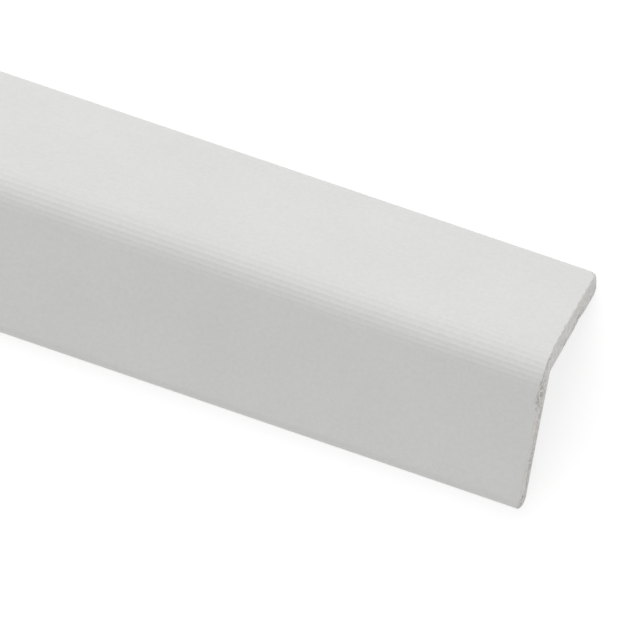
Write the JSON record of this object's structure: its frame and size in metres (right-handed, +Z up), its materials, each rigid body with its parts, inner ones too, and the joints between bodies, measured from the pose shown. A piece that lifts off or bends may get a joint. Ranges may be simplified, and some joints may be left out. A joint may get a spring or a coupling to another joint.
{
  "type": "corner guard moulding",
  "caption": "Straight L-section corner guard moulding with rounded free edges and a finely fluted outer corner, to cap and protect an outside corner of a wall.",
  "frame": {"origin": "on the floor under the middle of the piece, halfway along its length", "axes": "+X along the length towards the sawn end that the picture shows, +Z up through the outer corner, the legs slope down to +Y and to -Y"},
  "size_m": [1.2192, 0.038, 0.021],
  "materials": {
    "white_plastic": "white cellular plastic with a smooth satin skin, rough where it is sawn"
  },
  "bodies": {
    "root": {"corner_guard": "white_plastic"}
  },
  "joints": []
}
